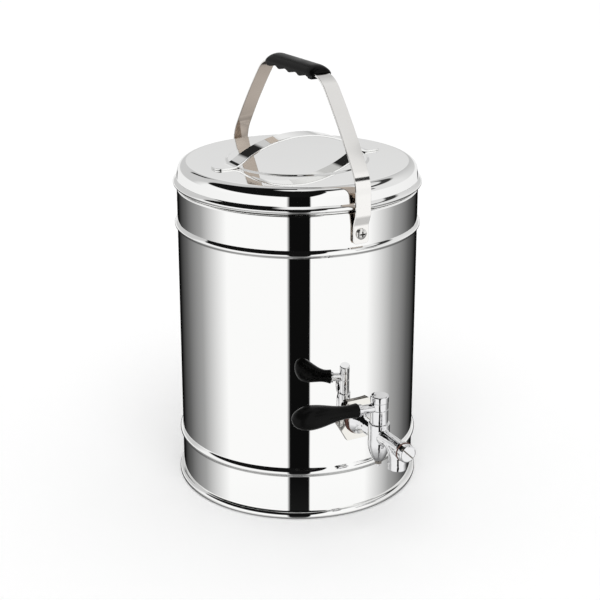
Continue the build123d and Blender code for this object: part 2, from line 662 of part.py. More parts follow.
def pivot_screw():
    """Pan-head screw along Z from the urn's axis, with a cross recess."""
    seat = TAB_Y + STRAP_THICK / 2 + FACE_GAP
    top = seat + PIVOT_HEAD_HEIGHT
    rim = (PIVOT_HEAD_RADIUS, seat + PIVOT_HEAD_HEIGHT / 3)
    head = turned(
        Polyline((0, top), (0, seat), (PIVOT_HEAD_RADIUS, seat), rim),
        TangentArc((0, top), rim, tangent=(1, 0)),
    )
    arms = [Rot(0, 0, turn) * Box(PIVOT_HEAD_RADIUS, PIVOT_SHANK / 2, PIVOT_SHANK) for turn in (0, 90)]
    recess = Pos(0, 0, top) * (arms[0] + arms[1])
    return head - recess + rod(PIVOT_SHANK, SHELL_IN - PIVOT_NUT_THICK, seat)


def pivot_screws():
    return group(pivot * pivot_screw() for pivot in PIVOTS)


def pivot_washers():
    """Spacing washers that keep the bail off the casing."""
    low = BODY_RADIUS
    washer = ring(PIVOT_WASHER_RADIUS, PIVOT_SHANK + SEAM, low, low + PIVOT_WASHER_THICK)
    return group(pivot * washer for pivot in PIVOTS)


def pivot_nuts():
    """Nuts inside the casing that hold the pivot screws."""
    top = SHELL_IN - 2 * SEAM
    low = top - PIVOT_NUT_THICK
    nut = hexagon(PIVOT_NUT_FLATS, low, top) - rod(PIVOT_SHANK + SEAM, low, top)
    return group(pivot * nut for pivot in PIVOTS)


def lid_line(inset):
    """Lid outline from the axis out over the raised disc and down the skirt."""
    top = LID_Z - inset
    disc = top + DISC_HEIGHT
    inner = (DISC_RADIUS - DISC_SLOPE, disc)
    middle = (DISC_RADIUS - DISC_SLOPE / 2, (disc + top) / 2)
    outer = (DISC_RADIUS, top)
    bend_in = (BODY_RADIUS - LID_SHOULDER, top)
    bend_out = (BODY_RADIUS - inset, LID_Z - LID_SHOULDER)
    return [
        Line((0, disc), inner),
        TangentArc(inner, middle, tangent=(1, 0)),
        TangentArc(outer, middle, tangent=(-1, 0)),
        Line(outer, bend_in),
        TangentArc(bend_in, bend_out, tangent=(1, 0)),
    ]


def lid_shell():
    """Pressed lid with a raised disc, rounded shoulder, skirt and rolled rim."""
    rim_top = LID_RIM_Z + LID_RIM_HEIGHT
    bend_z = LID_Z - LID_SHOULDER
    return turned(
        *lid_line(0),
        *lid_line(LID_WALL),
        Line((0, LID_Z + DISC_HEIGHT), (0, LID_Z + DISC_HEIGHT - LID_WALL)),
        Line((BODY_RADIUS, bend_z), (BODY_RADIUS, rim_top)),
        SagittaArc((BODY_RADIUS, rim_top), (BODY_RADIUS, LID_RIM_Z), LID_RIM_PROUD),
        Polyline((BODY_RADIUS, LID_RIM_Z), (LID_SKIRT_IN, LID_RIM_Z), (LID_SKIRT_IN, bend_z)),
    )


def lid_liner():
    """Inner pan of the lid, its flange on the gasket and its plug in the mouth."""
    plug = VESSEL_RADIUS - LINER_PLAY
    edge = LID_SKIRT_IN - FOAM_GAP
    low = MOUTH_Z - LINER_DEPTH
    return turned(
        Polyline(
            (0, low),
            (plug, low),
            (plug, LINER_Z),
            (edge, LINER_Z),
            (edge, LINER_Z + LINER_WALL),
            (plug - LINER_WALL, LINER_Z + LINER_WALL),
            (plug - LINER_WALL, low + LINER_WALL),
            (0, low + LINER_WALL),
            (0, low),
        )
    )


def lid_foam():
    """Insulation between the lid and its liner."""
    plug = VESSEL_RADIUS - LINER_PLAY - LINER_WALL - FOAM_GAP
    low = MOUTH_Z - LINER_DEPTH + LINER_WALL + FOAM_GAP
    shelf = LINER_Z + LINER_WALL + FOAM_GAP
    top = LID_Z - LID_WALL - FOAM_GAP
    edge = BODY_RADIUS - LID_SHOULDER
    return turned(
        Polyline((0, low), (plug, low), (plug, shelf), (edge, shelf), (edge, top), (0, top), (0, low))
    )


def lid_gasket():
    """Flat sealing ring under the liner's flange."""
    outside = MOUTH_LIP_RADIUS - MOUTH_ROUND
    return ring(outside, outside - GASKET_WIDTH, GASKET_Z, LINER_Z)


def lid_handle():
    """Strap arched over the raised disc, with rounded feet on the lid."""
    foot_z = LID_Z + HANDLE_THICK / 2
    rise = HANDLE_RISE - HANDLE_THICK
    lean = 2 * degrees(atan2(rise, HANDLE_FOOT_IN))
    bends = HANDLE_FOOT_IN / sin(radians(lean))
    crown = JernArc((0, foot_z + rise), (1, 0), bends - HANDLE_FOOT_BEND, -lean)
    root = JernArc(crown @ 1, crown % 1, HANDLE_FOOT_BEND, lean)
    foot = Line(root @ 1, (HANDLE_FOOT_OUT, foot_z))
    wire = Wire([crown, root, foot])
    half = make_face(wire.offset_2d(HANDLE_THICK / 2, side=Side.LEFT, closed=True))
    half += make_face(wire.offset_2d(HANDLE_THICK / 2, side=Side.RIGHT, closed=True))
    arch = extrude(Plane.XZ * half, HANDLE_WIDTH / 2, both=True)
    arch = arch + mirror(arch, Plane.YZ)
    ends = arch.edges().filter_by(Axis.Z)
    tips = ends.group_by(Axis.X)
    return fillet(tips[0] + tips[-1], HANDLE_FOOT_ROUND)


PIECES = [
    outer_shell,
    foot_ring,
    base_plate,
    inner_vessel,
    insulation,
    tap_socket,
    boss_washer,
    tap_body,
    tap_plug,
    plug_cap,
    plug_washer,
    plug_nut,
    lever_stem,
    lever_handle,
    end_washer,
    end_cap,
    bail_strap,
    grip_cover,
    grip_base,
    grip_screws,
    pivot_screws,
    pivot_washers,
    pivot_nuts,
    lid_shell,
    lid_liner,
    lid_foam,
    lid_gasket,
    lid_handle,
]

for piece in PIECES:
    export_step(piece(), f"parts/{piece.__name__}.step")
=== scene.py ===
import math

import bpy
from mathutils import Matrix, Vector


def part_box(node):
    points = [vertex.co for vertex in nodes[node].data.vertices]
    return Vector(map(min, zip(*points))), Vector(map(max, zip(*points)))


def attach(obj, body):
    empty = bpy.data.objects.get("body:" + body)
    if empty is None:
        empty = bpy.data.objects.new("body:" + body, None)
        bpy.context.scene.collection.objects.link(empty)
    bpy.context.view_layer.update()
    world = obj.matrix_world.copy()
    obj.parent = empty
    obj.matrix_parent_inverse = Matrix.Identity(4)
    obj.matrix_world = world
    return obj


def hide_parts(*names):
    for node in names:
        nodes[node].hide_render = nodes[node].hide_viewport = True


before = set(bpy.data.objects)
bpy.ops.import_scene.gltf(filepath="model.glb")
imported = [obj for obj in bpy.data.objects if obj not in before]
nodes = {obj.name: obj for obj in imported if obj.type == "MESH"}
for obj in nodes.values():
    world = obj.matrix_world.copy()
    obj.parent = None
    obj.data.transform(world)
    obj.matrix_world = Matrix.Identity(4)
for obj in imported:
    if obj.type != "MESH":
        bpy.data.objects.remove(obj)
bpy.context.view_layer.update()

MM = 0.001

# Sizes of the urn that the drawn pieces share, in millimetres
BODY = 125.0            # radius of the casing
FOOT_TOP = 8.0
FOOT_PROUD = 4.2
FOOT_INSIDE = 122.0
LOWER_RIB = 51.8
LOWER_RIB_HEIGHT = 9.8
UPPER_RIB = 283.2
UPPER_RIB_HEIGHT = 8.0
RIB_PROUD = 2.8
SHOULDER = 322.8        # height of the step under the lid
SHOULDER_BEND = 2.6
NECK = 122.1
NECK_TOP = 334.0
LID_RIM = 323.1
LID_RIM_HEIGHT = 8.0
LID_TOP = 348.0
DISC = 74.5
STRAP = 16.8            # width of the bail
PIVOT = 300.9           # height of the bail's pivots
TAP_HEIGHT = 105.4
PLUG = 167.5            # tap plug in front of the urn's axis
LEVER_HEIGHT = 28.6     # above the tap
SLOT_FLOOR = 218.8      # floor of the cleaning plug's slot, in front of the urn's axis
SCREW_SEAT = 128.6      # underside of a pivot screw's head, from the urn's axis
HOLD = 0.5              # spare ring beside a bend, so that the flat stays flat

# Lays a piece that is drawn upright along the tap, out from the urn
LAID = Matrix.Translation((0, 0, TAP_HEIGHT * MM)) @ Matrix.Rotation(math.radians(90), 4, "X")


def clear_hands():
    """Object mode with nothing selected, before a new piece is begun."""
    if bpy.context.object and bpy.context.object.mode != "OBJECT":
        bpy.ops.object.mode_set(mode="OBJECT")
    bpy.ops.object.select_all(action="DESELECT")


def pick_up(piece):
    """Selects one piece alone and makes it the active one."""
    clear_hands()
    bpy.context.view_layer.objects.active = piece
    piece.select_set(True)


def arc(radius, height, bend, start, stop, steps):
    """Points of a bend about (radius, height), between two angles in degrees."""
    turns = [math.radians(start + (stop - start) * i / steps) for i in range(steps + 1)]
    return [(radius + bend * math.cos(t), height + bend * math.sin(t)) for t in turns]


def bead(radius, height, width, proud, steps):
    """Points up a rolled bead with soft feet."""
    spots = [2 * i / steps - 1 for i in range(steps + 1)]
    return [(radius + proud * (1 - u * u) ** 1.2, height + width / 2 * u) for u in spots]


def draw_sections(name, sections, segments, capped):
    """An oval of the first section, extruded and scaled through the rest. A section is (half width,
    half depth, height), and one without width closes the end."""
    clear_hands()
    wide, deep, height = sections[0]
    fill = "TRIFAN" if capped else "NOTHING"
    bpy.ops.mesh.primitive_circle_add(vertices=segments, radius=MM, fill_type=fill)
    piece = bpy.context.object
    piece.name = name
    bpy.ops.object.mode_set(mode="EDIT")
    bpy.ops.mesh.select_all(action="SELECT")
    bpy.ops.transform.resize(value=(wide, deep, 1), center_override=(0, 0, 0))
    bpy.ops.transform.translate(value=(0, 0, height * MM))
    if capped:
        bpy.ops.mesh.select_all(action="DESELECT")
        bpy.ops.mesh.select_mode(type="EDGE")
        bpy.ops.mesh.select_non_manifold()
    for next_wide, next_deep, next_height in sections[1:]:
        step = (0, 0, (next_height - height) * MM)
        bpy.ops.mesh.extrude_region_move(TRANSFORM_OT_translate={"value": step})
        if next_wide == 0:
            bpy.ops.mesh.merge(type="CENTER")
            break
        grow = (next_wide / wide, next_deep / deep, 1)
        bpy.ops.transform.resize(value=grow, center_override=(0, 0, next_height * MM))
        wide, deep, height = next_wide, next_deep, next_height
    bpy.ops.mesh.select_all(action="SELECT")
    bpy.ops.mesh.remove_doubles(threshold=1e-6)
    bpy.ops.mesh.normals_make_consistent(inside=False)
    bpy.ops.object.mode_set(mode="OBJECT")
    return piece


def draw_round(name, outline, segments, capped=False):
    """A turned piece, drawn through its outline of (radius, height)."""
    sections = [(radius, radius, height) for radius, height in outline]
    return draw_sections(name, sections, segments, capped)


def draw_strap(name, stations, width, place):
    """A flat strap whose end edge is extruded from station to station of (along, height)."""
    clear_hands()
    (x0, z0), (x1, z1) = stations[:2]
    bpy.ops.mesh.primitive_plane_add(size=1)
    piece = bpy.context.object
    piece.name = name
    bpy.ops.object.mode_set(mode="EDIT")
    bpy.ops.mesh.select_all(action="SELECT")
    bpy.ops.transform.resize(value=((x1 - x0) * MM, width * MM, 1))
    bpy.ops.transform.translate(value=((x0 + x1) / 2 * MM, 0, z0 * MM))
    bpy.ops.object.mode_set(mode="OBJECT")
    for v in piece.data.vertices:
        v.select = v.co.x > (x0 + x1) / 2 * MM
    for e in piece.data.edges:
        e.select = all(piece.data.vertices[i].select for i in e.vertices)
    for f in piece.data.polygons:
        f.select = False
    bpy.ops.object.mode_set(mode="EDIT")
    bpy.ops.mesh.select_mode(type="EDGE")
    for x, z in stations[2:]:
        step = ((x - x1) * MM, 0, (z - z1) * MM)
        bpy.ops.mesh.extrude_region_move(TRANSFORM_OT_translate={"value": step})
        x1, z1 = x, z
    bpy.ops.object.mode_set(mode="OBJECT")
    piece.data.transform(place)
    return piece


def round_corners(piece, radius):
    """Rounds the four outer corners of a flat strap, where only two edges meet."""
    meeting = {}
    for e in piece.data.edges:
        for i in e.vertices:
            meeting[i] = meeting.get(i, 0) + 1
    pick_up(piece)
    for f in piece.data.polygons:
        f.select = False
    for e in piece.data.edges:
        e.select = False
    for v in piece.data.vertices:
        v.select = meeting[v.index] == 2
    bpy.ops.object.mode_set(mode="EDIT")
    bpy.ops.mesh.select_mode(type="VERT")
    bpy.ops.mesh.bevel(affect="VERTICES", offset=radius * MM, segments=8, profile=0.5)
    bpy.ops.object.mode_set(mode="OBJECT")


def apply_modifier(piece, kind, **settings):
    """Adds a modifier with its settings and applies it."""
    pick_up(piece)
    modifier = piece.modifiers.new(kind.lower(), kind)
    for key, value in settings.items():
        setattr(modifier, key, value)
    bpy.ops.object.modifier_apply(modifier=modifier.name)


def break_edges(piece, width, segments, degrees):
    """Rounds off the edges that are sharper than the angle."""
    sharp = math.radians(degrees)
    apply_modifier(
        piece, "BEVEL", width=width * MM, segments=segments, limit_method="ANGLE", angle_limit=sharp,
    )


def cut_bar(piece, size, height, turn=0.0):
    """Cuts a bar out of a piece that is drawn upright."""
    clear_hands()
    place, lean = (0, 0, height * MM), (0, 0, math.radians(turn))
    bpy.ops.mesh.primitive_cube_add(size=MM, location=place, rotation=lean)
    bar = bpy.context.object
    bar.scale = size
    apply_modifier(piece, "BOOLEAN", object=bar, operation="DIFFERENCE", solver="EXACT")
    bpy.data.objects.remove(bar)


def soften(piece, degrees):
    """Smooth shading up to the angle, with flat faces kept flat."""
    pick_up(piece)
    bpy.ops.object.shade_smooth_by_angle(angle=math.radians(degrees))
    apply_modifier(piece, "WEIGHTED_NORMAL", mode="FACE_AREA", weight=50, keep_sharp=True)


def copy_solid(node, name):
    """A copy of a solid with its triangles merged into whole faces."""
    piece = bpy.data.objects.new(name, nodes[node].data.copy())
    bpy.context.scene.collection.objects.link(piece)
    pick_up(piece)
    bpy.ops.object.mode_set(mode="EDIT")
    bpy.ops.mesh.select_all(action="SELECT")
    bpy.ops.mesh.remove_doubles(threshold=2e-6)
    bpy.ops.mesh.dissolve_limited(angle_limit=math.radians(0.4))
    bpy.ops.object.mode_set(mode="OBJECT")
    return piece


def dress(node, name, edge, degrees=35):
    """A copy of a solid with its edges broken by a small round and its faces smooth."""
    piece = copy_solid(node, name)
    break_edges(piece, width=edge, segments=3, degrees=degrees)
    soften(piece, degrees)
    return piece


def stand_in(piece, node, body, finish):
    """Puts a finished piece in the place of its solid."""
    piece.data.materials.clear()
    piece.data.materials.append(finish)
    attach(piece, body)
    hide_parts(node)


def darken(piece, finish, chosen):
    """Gives some faces a second finish, chosen by their middle in millimetres and their direction."""
    piece.data.materials.append(finish)
    for face in piece.data.polygons:
        if chosen(face.center / MM, face.normal):
            face.material_index = 1


def in_cross(middle, normal):
    """True inside the cross recess of a pivot screw, which is painted dark as shade."""
    floor_side, rim_side, reach = SCREW_SEAT + 0.4, SCREW_SEAT + 2.6, 3.0
    off_axis = math.hypot(middle.x, middle.z - PIVOT)
    return floor_side < abs(middle.y) < rim_side and off_axis < reach


def inside_bail(middle, normal):
    """True on the side of the bail that looks at the lid, painted darker as shade: inward on its legs,
    downward at its crown.
    """
    crown = PIVOT + 100.0
    inward = normal.y * middle.y < -30.0        # the legs stand about 130 mm out
    return inward or (normal.z < -0.5 and middle.z > crown)


def on_flats(middle, normal):
    """True on the hexagon's flats, which are painted darker as shade."""
    return abs(normal.y) < 0.3


def in_slot(middle, normal):
    """True on the floor of the cleaning plug's slot, which is painted darker as shade."""
    return normal.y < -0.9 and abs(middle.y + SLOT_FLOOR) < 0.6


def paint(node, finish):
    """Gives a solid that stays in view its finish."""
    for held in nodes[node].material_slots:
        held.material = finish


# Finishes

def colour(code):
    """Linear colour of an sRGB hex code."""
    parts = [int(code[i:i + 2], 16) / 255 for i in (1, 3, 5)]
    return [p / 12.92 if p <= 0.04045 else ((p + 0.055) / 1.055) ** 2.4 for p in parts] + [1.0]


def add(tree, kind, values=None, links=None, **settings):
    """A node with its settings, its fixed inputs and its links."""
    node = tree.nodes.new(kind)
    for key, value in settings.items():
        setattr(node, key, value)
    for key, value in (values or {}).items():
        node.inputs[key].default_value = value
    for key, source in (links or {}).items():
        tree.links.new(source, node.inputs[key])
    return node


def begin_finish(name):
    """A new finish with an empty tree and the piece's own coordinates in metres."""
    finish = bpy.data.materials.new(name)
    finish.use_nodes = True
    tree = finish.node_tree
    tree.nodes.clear()
    return finish, tree, add(tree, "ShaderNodeTexCoord").outputs["Object"]


def end_finish(tree, shader):
    """Leads the finished shader out."""
    add(tree, "ShaderNodeOutputMaterial", links={"Surface": shader.outputs["BSDF"]})


def polished_steel():
    """Sheet stainless steel, rolled and mirror-buffed: a clear reflection with the faint
    waviness of thin sheet and the hairlines that the buffing wheel leaves round the drum. The hairlines
    are drawn 0.8 mm apart, coarser than real ones, so that they show."""
    finish, tree, place = begin_finish("buffed_stainless")
    stretch = (1 / 0.090, 1 / 0.090, 1 / 0.0008)
    round_drum = add(tree, "ShaderNodeMapping", {"Scale": stretch}, {"Vector": place})
    hairlines = add(
        tree, "ShaderNodeTexNoise", {"Scale": 1.0, "Detail": 3.0},
        {"Vector": round_drum.outputs[0]},
    )
    sheet = add(tree, "ShaderNodeTexNoise", {"Scale": 1 / 0.070, "Detail": 1.0}, {"Vector": place})
    haze = add(
        tree, "ShaderNodeMapRange", {"From Min": 0.35, "From Max": 0.75, "To Min": 0.012, "To Max": 0.034},
        {"Value": hairlines.outputs["Fac"]},
    )
    lines = add(
        tree, "ShaderNodeBump", {"Strength": 0.04, "Distance": 0.00002},
        {"Height": hairlines.outputs["Fac"]},
    )
    waves = add(
        tree, "ShaderNodeBump", {"Strength": 0.2, "Distance": 0.0003},
        {"Height": sheet.outputs["Fac"], "Normal": lines.outputs[0]},
    )
    shader = add(
        tree, "ShaderNodeBsdfPrincipled", {"Base Color": colour("#FAFAF9"), "Metallic": 1.0},
        {"Roughness": haze.outputs[0], "Normal": waves.outputs[0]},
    )
    end_finish(tree, shader)
    return finish


def satin_strap(name, dark, light):
    """Stainless strip, buffed to a soft pale sheen, with fine draw lines along the strip, 0.4 mm apart here
    so that they show.
    A darker brown-grey copy paints shade on the side that looks at the lid."""
    finish, tree, place = begin_finish(name)
    stretch = (1 / 0.0004, 1 / 0.150, 1 / 0.150)
    along = add(tree, "ShaderNodeMapping", {"Scale": stretch}, {"Vector": place})
    draw = add(tree, "ShaderNodeTexNoise", {"Scale": 1.0, "Detail": 4.0}, {"Vector": along.outputs[0]})
    stain = add(tree, "ShaderNodeTexNoise", {"Scale": 1 / 0.050, "Detail": 2.0}, {"Vector": place})
    tone = add(
        tree, "ShaderNodeMix", {"A": colour(dark), "B": colour(light)},
        {"Factor": stain.outputs["Fac"]}, data_type="RGBA",
    )
    sheen = add(
        tree, "ShaderNodeMapRange", {"From Min": 0.3, "From Max": 0.7, "To Min": 0.07, "To Max": 0.11},
        {"Value": draw.outputs["Fac"]},
    )
    lines = add(
        tree, "ShaderNodeBump", {"Strength": 0.08, "Distance": 0.00002},
        {"Height": draw.outputs["Fac"]},
    )
    shader = add(
        tree, "ShaderNodeBsdfPrincipled", {"Metallic": 1.0},
        {"Base Color": tone.outputs["Result"], "Roughness": sheen.outputs[0], "Normal": lines.outputs[0]},
    )
    end_finish(tree, shader)
    return finish


def plated_brass():
    """Cast brass, ground and chrome-plated: bright and cool, with the soft swells of hand grinding."""
    finish, tree, place = begin_finish("chrome_plated_brass")
    swells = add(tree, "ShaderNodeTexNoise", {"Scale": 1 / 0.008, "Detail": 2.0}, {"Vector": place})
    pits = add(tree, "ShaderNodeTexNoise", {"Scale": 1 / 0.0012, "Detail": 2.0}, {"Vector": place})
    haze = add(
        tree, "ShaderNodeMapRange", {"From Min": 0.4, "From Max": 0.75, "To Min": 0.025, "To Max": 0.07},
        {"Value": pits.outputs["Fac"]},
    )
    ground = add(
        tree, "ShaderNodeBump", {"Strength": 0.6, "Distance": 0.0006},
        {"Height": swells.outputs["Fac"]},
    )
    shader = add(
        tree, "ShaderNodeBsdfPrincipled", {"Base Color": colour("#ECECED"), "Metallic": 1.0},
        {"Roughness": haze.outputs[0], "Normal": ground.outputs[0]},
    )
    end_finish(tree, shader)
    return finish


def black_phenolic():
    """Phenolic moulding: deep black with a low satin gloss and a fine orange-peel skin."""
    finish, tree, place = begin_finish("black_phenolic")
    skin = add(tree, "ShaderNodeTexNoise", {"Scale": 1 / 0.0009, "Detail": 2.0}, {"Vector": place})
    worn = add(tree, "ShaderNodeTexNoise", {"Scale": 1 / 0.022, "Detail": 3.0}, {"Vector": place})
    gloss = add(
        tree, "ShaderNodeMapRange", {"From Min": 0.3, "From Max": 0.7, "To Min": 0.22, "To Max": 0.36},
        {"Value": worn.outputs["Fac"]},
    )
    tone = add(
        tree, "ShaderNodeMix", {"A": colour("#060606"), "B": colour("#0B0B0A")},
        {"Factor": worn.outputs["Fac"]}, data_type="RGBA",
    )
    peel = add(
        tree, "ShaderNodeBump", {"Strength": 0.2, "Distance": 0.00005},
        {"Height": skin.outputs["Fac"]},
    )
    shader = add(
        tree, "ShaderNodeBsdfPrincipled", {"IOR": 1.5, "Specular IOR Level": 0.09},
        {"Base Color": tone.outputs["Result"], "Roughness": gloss.outputs[0], "Normal": peel.outputs[0]},
    )
    end_finish(tree, shader)
    return finish


def red_fibre():
    """Vulcanised fibre washer: dull brick red, mottled by its paper fibres."""
    finish, tree, place = begin_finish("red_vulcanised_fibre")
    fibres = add(tree, "ShaderNodeTexNoise", {"Scale": 1 / 0.0008, "Detail": 5.0}, {"Vector": place})
    tone = add(
        tree, "ShaderNodeMix", {"A": colour("#4A2F28"), "B": colour("#6B463B")},
        {"Factor": fibres.outputs["Fac"]}, data_type="RGBA",
    )
    nap = add(
        tree, "ShaderNodeBump", {"Strength": 0.4, "Distance": 0.0001},
        {"Height": fibres.outputs["Fac"]},
    )
    shader = add(
        tree, "ShaderNodeBsdfPrincipled", {"Roughness": 0.7},
        {"Base Color": tone.outputs["Result"], "Normal": nap.outputs[0]},
    )
    end_finish(tree, shader)
    return finish


def nickel_boss():
    """Turned brass boss under bright nickel: a warm pale mirror with faint lathe lines on its faces,
    0.6 mm apart here so that they show."""
    finish, tree, place = begin_finish("nickelled_brass")
    stretch = (1 / 0.0006, 1 / 0.030, 1 / 0.0006)
    faced = add(tree, "ShaderNodeMapping", {"Scale": stretch}, {"Vector": place})
    lathe = add(tree, "ShaderNodeTexNoise", {"Scale": 1.0, "Detail": 2.0}, {"Vector": faced.outputs[0]})
    haze = add(
        tree, "ShaderNodeMapRange", {"From Min": 0.3, "From Max": 0.7, "To Min": 0.03, "To Max": 0.06},
        {"Value": lathe.outputs["Fac"]},
    )
    cuts = add(
        tree, "ShaderNodeBump", {"Strength": 0.05, "Distance": 0.00002},
        {"Height": lathe.outputs["Fac"]},
    )
    shader = add(
        tree, "ShaderNodeBsdfPrincipled", {"Base Color": colour("#F0EEE8"), "Metallic": 1.0},
        {"Roughness": haze.outputs[0], "Normal": cuts.outputs[0]},
    )
    end_finish(tree, shader)
    return finish


def zinc_screw(name, code):
    """Turned steel under zinc plate with a slight bloom, in the given colour: pale grey when new, dull grey
    for the tail's washer and nut, and darker copies that paint shade into recesses and onto the hexagon's
    flats."""
    finish, tree, place = begin_finish(name)
    bloom = add(tree, "ShaderNodeTexNoise", {"Scale": 1 / 0.0015, "Detail": 3.0}, {"Vector": place})
    haze = add(
        tree, "ShaderNodeMapRange", {"From Min": 0.3, "From Max": 0.7, "To Min": 0.14, "To Max": 0.3},
        {"Value": bloom.outputs["Fac"]},
    )
    shader = add(
        tree, "ShaderNodeBsdfPrincipled", {"Base Color": colour(code), "Metallic": 1.0},
        {"Roughness": haze.outputs[0]},
    )
    end_finish(tree, shader)
    return finish


def brushed_vessel():
    """Deep-drawn stainless pan, belt-brushed round its wall: a soft sheen in streaks, drawn 0.6 mm apart so
    that they show."""
    finish, tree, place = begin_finish("brushed_stainless")
    stretch = (1 / 0.060, 1 / 0.060, 1 / 0.0006)
    round_wall = add(tree, "ShaderNodeMapping", {"Scale": stretch}, {"Vector": place})
    brush = add(
        tree, "ShaderNodeTexNoise", {"Scale": 1.0, "Detail": 4.0},
        {"Vector": round_wall.outputs[0]},
    )
    haze = add(
        tree, "ShaderNodeMapRange", {"From Min": 0.3, "From Max": 0.7, "To Min": 0.24, "To Max": 0.4},
        {"Value": brush.outputs["Fac"]},
    )
    lines = add(
        tree, "ShaderNodeBump", {"Strength": 0.2, "Distance": 0.00005},
        {"Height": brush.outputs["Fac"]},
    )
    shader = add(
        tree, "ShaderNodeBsdfPrincipled", {"Base Color": colour("#D6D6D4"), "Metallic": 1.0},
        {"Roughness": haze.outputs[0], "Normal": lines.outputs[0]},
    )
    end_finish(tree, shader)
    return finish


def soft_solid(name, dark, light, grain, rough):
    """Cut foam, moulded silicone or nylon: matt and slightly cloudy, with its own grain in metres."""
    finish, tree, place = begin_finish(name)
    cloud = add(tree, "ShaderNodeTexNoise", {"Scale": 1 / grain, "Detail": 4.0}, {"Vector": place})
    tone = add(
        tree, "ShaderNodeMix", {"A": colour(dark), "B": colour(light)},
        {"Factor": cloud.outputs["Fac"]}, data_type="RGBA",
    )
    cells = add(
        tree, "ShaderNodeBump", {"Strength": 0.3, "Distance": grain / 8},
        {"Height": cloud.outputs["Fac"]},
    )
    shader = add(
        tree, "ShaderNodeBsdfPrincipled", {"Roughness": rough},
        {"Base Color": tone.outputs["Result"], "Normal": cells.outputs[0]},
    )
    end_finish(tree, shader)
    return finish


STEEL = polished_steel()
STRIP = satin_strap("satin_stainless_strip", "#F2F0ED", "#FAF9F7")
# darker brown-grey copy of the strip's finish: painted shade on the bail's inner side
SHADED_STRIP = satin_strap("shaded_stainless_strip", "#B9ADA2", "#CCC1B7")
CHROME = plated_brass()
PHENOLIC = black_phenolic()
FIBRE = red_fibre()
NICKEL = nickel_boss()
ZINC = zinc_screw("zinc_plated_steel", "#E9E8E5")
# dull grey zinc for the tail's washer and nut, also used as painted shade on the hexagon's flats and in the
# plug's slot
DULL_ZINC_AND_SHADE = zinc_screw("dulled_zinc_and_painted_shade", "#77726C")
# near-black copy of the zinc finish: painted shade in the screws' cross recesses
RECESS_SHADE = zinc_screw("painted_recess_shade", "#2B2926")
BRUSHED = brushed_vessel()
FOAM = soft_solid("polyurethane_foam", "#C9B98C", "#E2D6AE", 0.0015, 0.95)
SILICONE = soft_solid("silicone_rubber", "#C6C4BC", "#D5D3CC", 0.004, 0.55)
NYLON = soft_solid("white_nylon", "#CFCEC8", "#DEDDD8", 0.003, 0.45)


# Pieces

def drum_line():
    """Outline of the drum's wall from the foot over its ribs to the shoulder."""
    outline = [(BODY, FOOT_TOP)]
    for middle, height in ((LOWER_RIB, LOWER_RIB_HEIGHT), (UPPER_RIB, UPPER_RIB_HEIGHT)):
        outline.append((BODY, middle - height / 2 - HOLD))
        outline += bead(BODY, middle, height, RIB_PROUD, 20)
        outline.append((BODY, middle + height / 2 + HOLD))
    outline.append((BODY, SHOULDER - SHOULDER_BEND - HOLD))
    return outline + arc(BODY - SHOULDER_BEND, SHOULDER - SHOULDER_BEND, SHOULDER_BEND, 0, 90, 8)


def casing():
    """Drum with two swaged ribs and the neck that the lid slips over."""
    outline = drum_line() + [(NECK, SHOULDER), (NECK, NECK_TOP)]
    piece = draw_round("casing", outline, 256)
    apply_modifier(piece, "SOLIDIFY", thickness=1.0 * MM, offset=-1.0)
    soften(piece, 40)
    stand_in(piece, "outer_shell", "urn", STEEL)


def casing_seam():
    """Welded and planished seam down the back of the drum."""
    width, thick, proud = 3.0, 0.3, 0.05
    wall = [point for point in drum_line() if point[1] <= SHOULDER - SHOULDER_BEND]
    upright = [(height, radius + proud) for radius, height in wall]
    turn = Matrix(((0, 0, 1, 0), (0, 1, 0, 0), (1, 0, 0, 0), (0, 0, 0, 1)))
    piece = draw_strap("drum_seam", upright, width, Matrix.Rotation(math.radians(90), 4, "Z") @ turn)
    apply_modifier(piece, "SOLIDIFY", thickness=thick * MM, offset=0.0)
    break_edges(piece, width=0.12, segments=2, degrees=50)
    soften(piece, 40)
    piece.data.materials.append(STEEL)
    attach(piece, "urn")


def foot():
    """Rolled foot, closed all round."""
    roll = FOOT_TOP / 2
    middle = BODY + FOOT_PROUD - roll
    outline = [(FOOT_INSIDE, 0.0)]
    outline += arc(middle, roll, roll, -90, 90, 14)
    outline += [(FOOT_INSIDE, FOOT_TOP), (FOOT_INSIDE, 0.0)]
    piece = draw_round("rolled_foot", outline, 256)
    soften(piece, 40)
    stand_in(piece, "foot_ring", "urn", STEEL)


def lid():
    """Pressed lid: raised disc, flat ring, rounded shoulder, skirt and rolled rim."""
    shoulder, taper, slope, raised, rim_proud = 10.0, 1.0, 3.0, 1.2, 3.8
    outline = [(DISC - slope - HOLD, LID_TOP + raised), (DISC - slope, LID_TOP + raised)]
    for i in range(1, 13):
        u = i / 12
        outline.append((DISC - slope + slope * u, LID_TOP + raised * (1 - u * u * (3 - 2 * u))))
    edge = BODY - taper - shoulder
    outline += [(DISC + HOLD, LID_TOP), (edge - HOLD, LID_TOP)]
    outline += arc(edge, LID_TOP - shoulder, shoulder, 90, 8, 20)
    outline += [(BODY, LID_RIM + LID_RIM_HEIGHT + HOLD)]
    outline += reversed(bead(BODY, LID_RIM + LID_RIM_HEIGHT / 2, LID_RIM_HEIGHT, rim_proud, 20))
    piece = draw_round("lid_pressing", outline, 256, capped=True)
    apply_modifier(piece, "SOLIDIFY", thickness=0.8 * MM, offset=-1.0)
    soften(piece, 40)
    stand_in(piece, "lid_shell", "lid", STEEL)


def lid_filling():
    """Foam under the lid, cut back where the lid's edge rounds off."""
    low, high = (corner[2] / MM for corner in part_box("lid_foam"))
    plug, shelf, rim, cut = 106.9, 338.0, 118.0, 2.4
    outline = [(plug, low), (plug, shelf), (rim, shelf), (rim, high - cut), (plug, high), (0, high)]
    piece = draw_round("lid_filling", outline, 128, capped=True)
    break_edges(piece, width=0.3, segments=2, degrees=30)
    soften(piece, 40)
    stand_in(piece, "lid_foam", "lid", FOAM)


